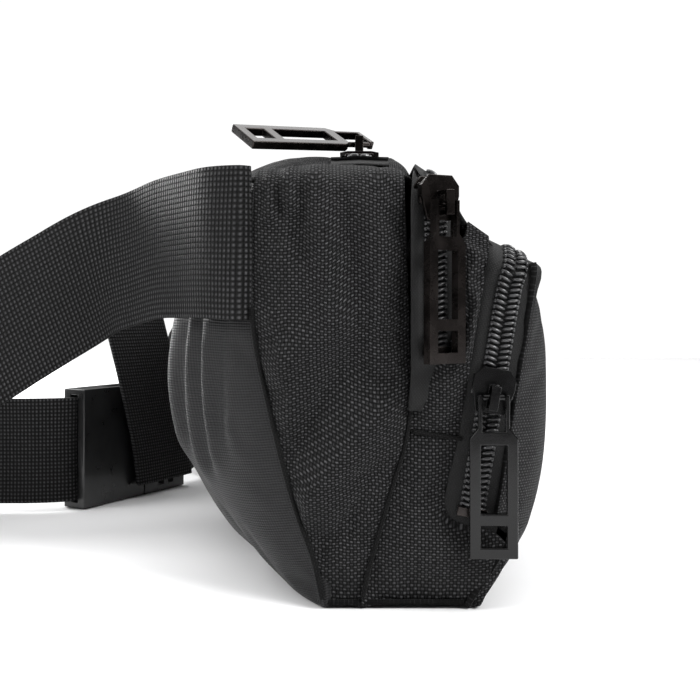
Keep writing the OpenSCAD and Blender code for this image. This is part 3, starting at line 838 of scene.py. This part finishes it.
def pocket_gussets():
    rear = smooth_line(mm((0, -13.8, 43.8), (0, -15.8, 52), (0, -19.5, 60), (0, -24.8, 66), (0, -27.2, 74),
                          (0, -27.4, 84), (0, -29.2, 95.8)))
    beside_zip = [(0, side_zip_y(z * MM) / MM + 6.3, z) for z in (42.6, 60, 75, 86)]
    fore = smooth_line(mm(*beside_zip, (0, -34.6, 92)))
    side_panel("pocket_side",
               {"near": ["near_pocket_gusset"], "far": ["far_pocket_gusset", "far_front_corner"]},
               rear, fore, False, (20, 36), 3.3)
    rear = smooth_line(mm((0, -2.8, floor_mm), (0, -4.6, 9), (0, -10.2, 29), (0, -14.8, 43.8)))
    fore = smooth_line(mm((0, -pocket_mm + 16, floor_mm), (0, -pocket_mm + 9, 12), (0, -pocket_mm + 11, 18.5),
                          (0, side_zip_y(24 * MM) / MM + 6.3, 24),
                          (0, side_zip_y(42.6 * MM) / MM + 6.3, 42.6)))
    side_panel("lower_side", {"near": ["near_lower_gusset"], "far": ["far_lower_gusset"]},
               rear, fore, True, (22, 28), 6.6)


def far_corner():
    """Plain cloth over the corner that has a zip at the other end."""

    def place(u, v):
        z = (44 + 60 * v) * MM
        y = (-13.5 - 15 * u) * MM
        bow = math.sin(math.pi * u) * math.sin(math.pi * v) ** 0.4
        return Vector((HALF_L + (-1.6 + 1.9 * bow - 3 * max(0, v - 0.9) / 0.1) * MM, y, z))

    piece = patch("far_corner", place, 10, 20, outward=Vector((1, 0, 0)), grain=end_grain)
    finish_cloth(piece, NYLON)


def bottom():
    def place(u, v):
        s = spread(u)
        back = BACK_END(0).lerp(BACK_MID(0), swell(s, 6)).y + 0.6 * MM
        front = FRONT_END(0).lerp(FRONT_MID(0), swell(s, 4)).y - 0.4 * MM
        edge = 0.9 * MM * max(abs(2 * v - 1) ** 8, abs(s) ** 30)
        return Vector((s * (HALF_L - 0.5 * MM), front + (back - front) * v, 0.25 * MM + edge))

    piece = patch("bottom", place, 90, 24, outward=Vector((0, 0, -1)))
    finish_cloth(piece, NYLON, 1.2 * MM)
    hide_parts("bottom_panel", "pocket_bottom")


# ---------------------------------------------------------------- seams and stitches


def tube(name, line, radius, material, steps, body="bag"):
    """A round piping along a line."""
    bm = bmesh.new()
    uv_layer(bm)
    bmesh.ops.create_grid(bm, x_segments=steps, y_segments=8, size=0.5, calc_uvs=True)
    uv = uv_layer(bm)
    spots = {}
    for v in bm.verts:
        t, turn = v.co.x + 0.5, (v.co.y + 0.5) * 2 * math.pi
        p = line(t)
        d = unit(line(min(t + 0.01, 1)) - line(max(t - 0.01, 0)))
        side = unit(d.cross(Vector((1, 0, 0.01))))
        spots[v] = (p + (side * math.cos(turn) + d.cross(side) * math.sin(turn)) * radius, t, turn)
    for face in bm.faces:
        for loop in face.loops:
            _, t, turn = spots[loop.vert]
            loop[uv].uv = (t * line.length, turn * radius)
    for v, (p, _, _) in spots.items():
        v.co = p
    bmesh.ops.remove_doubles(bm, verts=bm.verts, dist=1e-6)
    bmesh.ops.holes_fill(bm, edges=[e for e in bm.edges if e.is_boundary])
    bmesh.ops.recalc_face_normals(bm, faces=bm.faces)
    piece = new_piece(name, bm, body)
    piece.data.materials.append(material)
    return piece


class Beads:
    """Many small rounded shapes in one piece, each a ball stretched and turned into place."""

    def __init__(self, segments=8, rings=5):
        one = bmesh.new()
        bmesh.ops.create_uvsphere(one, u_segments=segments, v_segments=rings, radius=0.5)
        one.verts.index_update()
        self.points = [v.co.copy() for v in one.verts]
        self.faces = [[v.index for v in f.verts] for f in one.faces]
        one.free()
        self.bm = bmesh.new()

    def add(self, at, turn, size):
        m = Matrix.Translation(at) @ turn.to_4x4() @ Matrix.Diagonal((*size, 1))
        made = [self.bm.verts.new(m @ p) for p in self.points]
        for f in self.faces:
            self.bm.faces.new([made[i] for i in f])


def stitch_row(name, line, normal, length=2.4 * MM, gap=1.0 * MM, body="bag"):
    """A row of sewn stitches: small rounded threads lying on the cloth."""
    beads = Beads(8, 5)
    count = max(2, int(line.length / (length + gap)))
    for i in range(count):
        t = (i + 0.5) / count
        p = line(t)
        d = unit(line(min(t + 0.004, 1)) - line(max(t - 0.004, 0)))
        n = unit(normal - d * normal.dot(d))
        turn = Matrix((d, n.cross(d), n)).transposed()
        beads.add(p, turn, (length, 0.55 * MM, 0.45 * MM))
    piece = new_piece(name, beads.bm, body)
    piece.data.materials.append(THREAD)
    return piece


def seams():
    for side, out in (("near", -1), ("far", 1)):
        back = smooth_line([Vector((out * (HALF_L - 0.1 * MM), p.y + 0.4 * MM, p.z))
                            for p in (SEAM_BACK(0.02 + k / 10) for k in range(0, 8))])
        piece = tube(side + "_back_piping", back, 0.75 * MM, BINDING, 90)
        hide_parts(side + "_seam_piping")
        front = smooth_line([Vector((out * (HALF_L + 0.1 * MM), p.y - 0.2 * MM, p.z))
                             for p in (SEAM_FRONT(0.025 + k / 14) for k in range(0, 9))])
        tube(side + "_front_piping", front, 0.6 * MM, BINDING, 90)
        across_seam = smooth_line([Vector((out * (HALF_L + 0.1 * MM), y * MM, z * MM))
                                   for y, z in ((-15.4, 43.9), (-19, 43.2), (-23, 42.6), (-27.6, 42))])
        tube(side + "_side_seam", across_seam, 0.55 * MM, BINDING, 30)


# ---------------------------------------------------------------- zips


class Rail:
    """A zip's middle line with the way its face looks, in metres."""

    def __init__(self, stations):
        self.point = smooth_line([Vector(p) * MM for p, _ in stations])
        runs = [0.0]
        for (a, _), (b, _) in zip(stations, stations[1:]):
            runs.append(runs[-1] + (Vector(b) - Vector(a)).length)
        self.runs = [r / runs[-1] for r in runs]
        self.normals = [Vector(n).normalized() for _, n in stations]
        self.length = self.point.length

    def frame(self, t):
        k = 0
        while k < len(self.runs) - 2 and self.runs[k + 1] < t:
            k += 1
        span = self.runs[k + 1] - self.runs[k]
        f = min(max((t - self.runs[k]) / span, 0), 1)
        n = self.normals[k].lerp(self.normals[k + 1], f)
        d = unit(self.point(min(t + 0.003, 1)) - self.point(max(t - 0.003, 0)))
        n = unit(n - d * n.dot(d))
        return self.point(t), d, n, d.cross(n)


def zip_rails():
    mz = MAIN_ZIP_Z / MM
    my = MAIN_ZIP_Y / MM
    reach = MAIN_ZIP_END / MM
    half = HALF_L / MM
    over = [((reach + 3, my, mz - 0.4), (0.1, 0, 1)), ((reach + 9, my, mz - 2.6), (0.35, 0, 0.93))]
    back_over = [((-p[0], p[1], p[2]), (-n[0], n[1], n[2])) for p, n in reversed(over)]
    along_top = [((x, my, mz), (0, 0, 1)) for x in (-reach, -reach / 2, 0, reach / 2, reach)]
    main = Rail(back_over + along_top + over)
    face = (-math.cos(math.radians(25)), -math.sin(math.radians(25)), 0)
    tilt = (0, -0.574, 0.819)
    second = Rail([
        ((-half + 0.8, -20.2, 49), face), ((-half - 0.4, -20.8, 58), face), ((-half - 0.7, -20.8, 63), face),
        ((-half - 0.7, -20.8, 80), face), ((-half - 0.7, -20.8, 94), face),
        ((-half - 0.3, -20.8, 99), (-0.88, -0.42, 0.12)), ((-half + 1.2, -21, 103), (-0.8, -0.45, 0.35)),
        ((-half + 4.5, -21.3, 105.6), (-0.4, -0.55, 0.7)), ((-half + 10, -21.5, 106.6), tilt),
        ((-half / 2, -21.5, 106.9), tilt), ((0, -21.5, 106.9), tilt), ((half / 2, -21.5, 106.9), tilt),
        ((half - 9, -21.5, 106.2), (0.1, -0.574, 0.8)), ((half - 2.5, -21.4, 103.8), (0.6, -0.5, 0.55)),
        ((half + 0.4, -21.2, 98.5), (0.9, -0.4, 0.1)), ((half + 0.6, -21, 92), (0.9, -0.4, 0))])

    def side(z, out):
        return (out * (half - 0.3), side_zip_y(z * MM) / MM, z)

    top = (0, -0.5, 0.866)
    near = [((-half + 1.6, side(16, -1)[1], 16.5), (-1, 0, 0.1))]
    near += [(side(z, -1), (-1, 0, 0)) for z in (23, 40, 60, 78)]
    near += [((-half + 0.4, -40.6, 84), (-0.92, -0.2, 0.33)), ((-half + 4.5, -41, 87.6), (-0.5, -0.4, 0.75))]
    far = [((-p[0], p[1], p[2]), (-n[0], n[1], n[2])) for p, n in reversed(near)]
    pocket = Rail(near + [((x, -41, 88), top) for x in (-half + 11, -half / 2, 0, half / 2, half - 11)] + far)
    return {"main": main, "second": second, "pocket": pocket}


TOOTH_PITCH = 1.4 * MM


def zip_tape(name, rail, half_w, steps):
    bm = bmesh.new()
    uv_layer(bm)
    bmesh.ops.create_grid(bm, x_segments=steps, y_segments=6, size=0.5, calc_uvs=True)
    uv = uv_layer(bm)
    flat = {v: (v.co.x + 0.5, v.co.y * 2) for v in bm.verts}
    for face in bm.faces:
        for loop in face.loops:
            t, w = flat[loop.vert]
            loop[uv].uv = (t * rail.length, w * half_w)
    for v, (t, w) in flat.items():
        p, d, n, side = rail.frame(t)
        v.co = p + side * (w * half_w) - n * 0.3 * MM * abs(w)
    piece = new_piece(name + "_tape", bm)
    piece.data.materials.append(TAPE)
    solid = piece.modifiers.new("thickness", "SOLIDIFY")
    solid.thickness = 0.6 * MM
    solid.offset = 0
    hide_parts(name + "_zip_tape")
    return piece


def zip_teeth(name, rail, bare):
    """Two rows of coil, loops and their outer turns, that meet in the middle half a pitch apart.

    bare gives the length of plain tape past each end of the coil.
    """
    beads = Beads(8, 6)
    count = int(rail.length / TOOTH_PITCH)
    for i in range(2 + int(bare[0] / TOOTH_PITCH), count - 1 - int(bare[1] / TOOTH_PITCH)):
        for row in (-1, 1):
            t = (i + (0.25 if row > 0 else -0.25)) / count
            p, d, n, side = rail.frame(t)
            turn = Matrix((side * row, d * row, n)).transposed()
            if turn.determinant() < 0:
                turn = Matrix((side * row, d * -row, n)).transposed()
            slant = turn @ Matrix.Rotation(math.radians(15 * row), 3, "Z")
            beads.add(p + side * row * 1.5 * MM + n * 0.62 * MM, slant, (3.15 * MM, 0.92 * MM, 1.5 * MM))
            beads.add(p + side * row * 2.85 * MM + n * 0.45 * MM, turn, (0.8 * MM, 1.2 * MM, 1.1 * MM))
    piece = new_piece(name + "_coil", beads.bm)
    piece.data.materials.append(COIL)
    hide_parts(name + "_zip_coil")
    return piece


def zips():
    rails = zip_rails()
    zip_tape("main", rails["main"], 7.4 * MM, 160)
    zip_tape("second", rails["second"], 6.4 * MM, 200)
    zip_tape("pocket", rails["pocket"], 7.0 * MM, 260)
    bare_ends = {"main": (10 * MM, 10 * MM), "second": (13 * MM, 22 * MM), "pocket": (6 * MM, 6 * MM)}
    for name, bare in bare_ends.items():
        zip_teeth(name, rails[name], bare)
    stop_nodes = {"main": "main_zip_stops", "second": "second_zip_stop", "pocket": "pocket_zip_stop"}
    for name, stops in stop_nodes.items():
        hard_copy(stops, name + "_stops", GUNMETAL, "dark_metal", 0.25 * MM)


# ---------------------------------------------------------------- hard parts


def hard_copy(node, name, material, slot, bevel, segments=3, body=None, angle=35, clamp=True):
    """A copy of a rigid node with its triangles merged and its edges rounded as cast or moulded."""
    bm = bmesh.new()
    bm.from_mesh(frame["nodes"][node].data)
    bmesh.ops.remove_doubles(bm, verts=bm.verts, dist=1e-6)
    bmesh.ops.dissolve_limit(bm, angle_limit=math.radians(1), verts=bm.verts, edges=bm.edges)
    sharp = [e for e in bm.edges if len(e.link_faces) == 2 and e.calc_face_angle(0) > math.radians(angle)]
    bmesh.ops.bevel(
        bm, geom=sharp, offset=bevel, offset_type="OFFSET", affect="EDGES", segments=segments, profile=0.5,
        material=-1, clamp_overlap=clamp)
    piece = new_piece(name, bm, body or body_of(frame["nodes"][node])[0])
    piece.data.materials.append(material)
    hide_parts(node)
    weighted = piece.modifiers.new("even_shading", "WEIGHTED_NORMAL")
    weighted.keep_sharp = False
    return piece


def lay_lower(piece, joint, degrees):
    """Lets a pull's free end droop in its bridge, about the level line across it."""
    pivot = Vector(joints[joint]["pos_m"])
    across_pull = Vector(joints[joint]["axis"]).cross(Vector((0, 0, 1)))
    turn = Matrix.Rotation(math.radians(degrees), 4, across_pull)
    piece.data.transform(Matrix.Translation(pivot) @ turn @ Matrix.Translation(-pivot))


def hard_parts():
    for zip_name, metal, slot in (("main", GUNMETAL, "dark_metal"), ("second", GUNMETAL, "dark_metal"),
                                  ("pocket", ENAMEL, "black_gloss_metal")):
        hard_copy(f"{zip_name}_slider", f"{zip_name}_slider_body", metal, slot, 0.35 * MM)
        pull = hard_copy(f"{zip_name}_pull", f"{zip_name}_pull_plate", metal, slot, 0.3 * MM,
                         clamp=zip_name == "second")
        if zip_name == "main":
            lay_lower(pull, "main_pull_flip", 4)
    hard_copy("buckle_socket", "socket_half", PLASTIC, "buckle_plastic", 0.5 * MM)
    hard_copy("buckle_plug", "plug_half", PLASTIC, "buckle_plastic", 0.4 * MM)
    for which in ("upper", "lower"):
        hard_copy(f"{which}_prong", f"{which}_prong_arm", PLASTIC, "buckle_plastic", 0.3 * MM)


# ---------------------------------------------------------------- belt


def ribbon(name, line, rise, half_w, steps, body="bag", columns=10):
    """Webbing along a middle line, with rise giving the way its width runs at each point."""
    bm = bmesh.new()
    uv_layer(bm)
    bmesh.ops.create_grid(bm, x_segments=steps, y_segments=columns, size=0.5, calc_uvs=True)
    uv = uv_layer(bm)
    flat = {v: (v.co.x + 0.5, v.co.y * 2) for v in bm.verts}
    for face in bm.faces:
        for loop in face.loops:
            t, w = flat[loop.vert]
            loop[uv].uv = (t * line.length, w * half_w)
    for v, (t, w) in flat.items():
        p = line(t)
        up = rise(t)
        d = unit(line(min(t + 0.01, 1)) - line(max(t - 0.01, 0)))
        face_out = unit(d.cross(up))
        cup = 0.5 * MM * (w * w - 0.5)
        drift = noise.noise(p * 25 + Vector((4, 4, 4))) * 0.5 * MM
        v.co = p + up * (w * half_w) + face_out * (cup + drift)
    piece = new_piece(name, bm, body)
    piece.data.materials.append(BELT)
    solid = piece.modifiers.new("thickness", "SOLIDIFY")
    solid.thickness = WEB_T
    solid.offset = 0
    round_edge = piece.modifiers.new("edge", "BEVEL")
    round_edge.width = 0.5 * MM
    round_edge.segments = 2
    round_edge.limit_method = "ANGLE"
    return piece


BUCKLE_AXIS = Vector(joints["plug_slide"]["axis"])
BUCKLE_SIDE = Vector((-BUCKLE_AXIS.y, BUCKLE_AXIS.x, 0))
PIN_UP = Vector(joints["upper_prong_press"]["pos_m"])
PIN_DOWN = Vector(joints["lower_prong_press"]["pos_m"])
BUCKLE_MID = (PIN_UP + PIN_DOWN) / 2 - BUCKLE_AXIS * 6.5 * MM
UP = Vector((0, 0, 1))


def by_buckle(u, v, z):
    p = BUCKLE_MID + BUCKLE_AXIS * u * MM + BUCKLE_SIDE * v * MM
    return Vector((p.x, p.y, z * MM)) / MM


def belt():
    half = HALF_L / MM
    seam_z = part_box("near_strap")[1].z / MM - 38.3
    web_low = 3.3
    near = [(-half + 1, 24.4, seam_z), (-half - 0.6, 28, seam_z), (-134, 36.5, seam_z + 0.4),
            (-123, 44.5, seam_z + 0.4), (-111, 53.2, seam_z), (-100, 62.5, seam_z - 2),
            (-93, 73, seam_z - 5), (-90, 86, seam_z - 12), (-89, 101, seam_z - 21),
            (-89, 117, 40), (-87, 133, 31), (-81, 148, 22), (-70, 160, 14),
            (-55, 166, 8), (-40, 164, 5), (-29, 155, 4), (-23, 143, 3.6), (-21, 130, 3.3),
            (-20.5, 115, web_low),
            tuple(by_buckle(-33, 0, web_low)), tuple(by_buckle(-27, 0, web_low))]
    line = smooth_line([Vector((x, y, z + 19)) * MM for x, y, z in near])

    def rise_near(t):
        d = unit(line(min(t + 0.01, 1)) - line(max(t - 0.01, 0)))
        up = UP - d * UP.dot(d) * 0.75
        return unit(up)

    piece = ribbon("near_belt", line, rise_near, WEB_W / 2, 240)
    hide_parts("near_strap")

    far = [tuple(by_buckle(27, 0, web_low)), tuple(by_buckle(31, 0, web_low)),
           tuple(by_buckle(38, 1, web_low + 0.5)), (56, 69.5, 5), (68, 75.5, 7.5),
           (80, 82, 10.5), (94, 86.5, 16), (107, 85, 24),
           (118, 78, 34), (127, 67, 46), (half - 6, 54, 58), (half - 2, 42, 67),
           (half + 0.5, 33, seam_z - 0.5), (half - 1, 24.6, seam_z)]
    far_line = smooth_line([Vector((x, y, z + 19)) * MM for x, y, z in far])

    def rise_far(t):
        d = unit(far_line(min(t + 0.01, 1)) - far_line(max(t - 0.01, 0)))
        return unit(UP - d * UP.dot(d) * 0.75)

    piece = ribbon("far_belt", far_line, rise_far, WEB_W / 2, 150, None)
    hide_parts("far_strap")
    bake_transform(piece, "plug", "bag", start=tuple(by_buckle(30, 0, 22) * MM), end=(0.094, 0.0865, 0.035))

    off = -7.6
    tail = [by_buckle(14, off, 5), by_buckle(11, off - 0.5, 20), by_buckle(4, off - 2, 38),
            by_buckle(-3, off - 3, 56), by_buckle(-8, off - 1.5, 74), by_buckle(-11, off + 1, 92)]
    tail_line = smooth_line([p * MM for p in tail])

    def rise_tail(t):
        return BUCKLE_AXIS

    piece = ribbon("belt_tail", tail_line, rise_tail, WEB_W * 0.45, 60, "plug")
    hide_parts("strap_tail")
    hard_copy("strap_keeper", "keeper_loop", ELASTIC, "elastic", 0.4 * MM)


# ---------------------------------------------------------------- stage and light


def area_light(name, at, target, size, energy, colour=(1, 1, 1)):
    data = bpy.data.lights.new(name, "AREA")
    data.shape = "RECTANGLE"
    data.size, data.size_y = size
    data.energy = energy
    data.color = colour
    light = bpy.data.objects.new(name, data)
    bpy.context.scene.collection.objects.link(light)
    light.location = at
    light.rotation_euler = (Vector(target) - Vector(at)).to_track_quat("-Z", "Y").to_euler()


def studio():
    bm = bmesh.new()
    bmesh.ops.create_grid(bm, x_segments=2, y_segments=2, size=1)
    for v in bm.verts:
        v.co = Vector((0.34 + v.co.x * 0.78, v.co.y * 1.6, 0))
    mesh = bpy.data.meshes.new("floor")
    bm.to_mesh(mesh)
    bm.free()
    floor = bpy.data.objects.new("floor", mesh)
    bpy.context.scene.collection.objects.link(floor)
    s = Surface("pale_floor")
    s.set(Base_Color=(0.93, 0.93, 0.935, 1), Roughness=0.7, Specular_IOR_Level=0.2)
    floor.data.materials.append(s.material)
    world = bpy.data.worlds.new("studio")
    bpy.context.scene.world = world
    world.use_nodes = True
    tree = world.node_tree
    fill = tree.nodes["Background"]
    fill.inputs["Color"].default_value = (1, 1, 1, 1)
    fill.inputs["Strength"].default_value = 0.1
    paper = tree.nodes.new("ShaderNodeBackground")
    paper.inputs["Color"].default_value = (1, 1, 1, 1)
    paper.inputs["Strength"].default_value = 1.05
    path = tree.nodes.new("ShaderNodeLightPath")
    mix = tree.nodes.new("ShaderNodeMixShader")
    tree.links.new(path.outputs["Is Camera Ray"], mix.inputs[0])
    tree.links.new(fill.outputs[0], mix.inputs[1])
    tree.links.new(paper.outputs[0], mix.inputs[2])
    tree.links.new(mix.outputs[0], tree.nodes["World Output"].inputs["Surface"])
    middle = (0, 0, 0.05)
    area_light("key_right", (-0.6, -0.7, 0.8), middle, (0.5, 0.5), 13)
    area_light("overhead", (0.3, -0.1, 1.5), middle, (2.4, 2.4), 36)
    area_light("left_front", (-0.35, 0.8, 0.55), (0, 0.1, 0.03), (0.5, 0.5), 4.8)
    area_light("back_left", (0.75, 0.8, 0.5), (0, 0.05, 0.05), (0.4, 0.8), 14)
    bpy.context.scene.view_settings.view_transform = "Standard"


back_panel()
end_panels()
top_panels()
pocket_uppers()
pocket_front()
pocket_gussets()
far_corner()
bottom()
seams()
zips()
hard_parts()
belt()
studio()
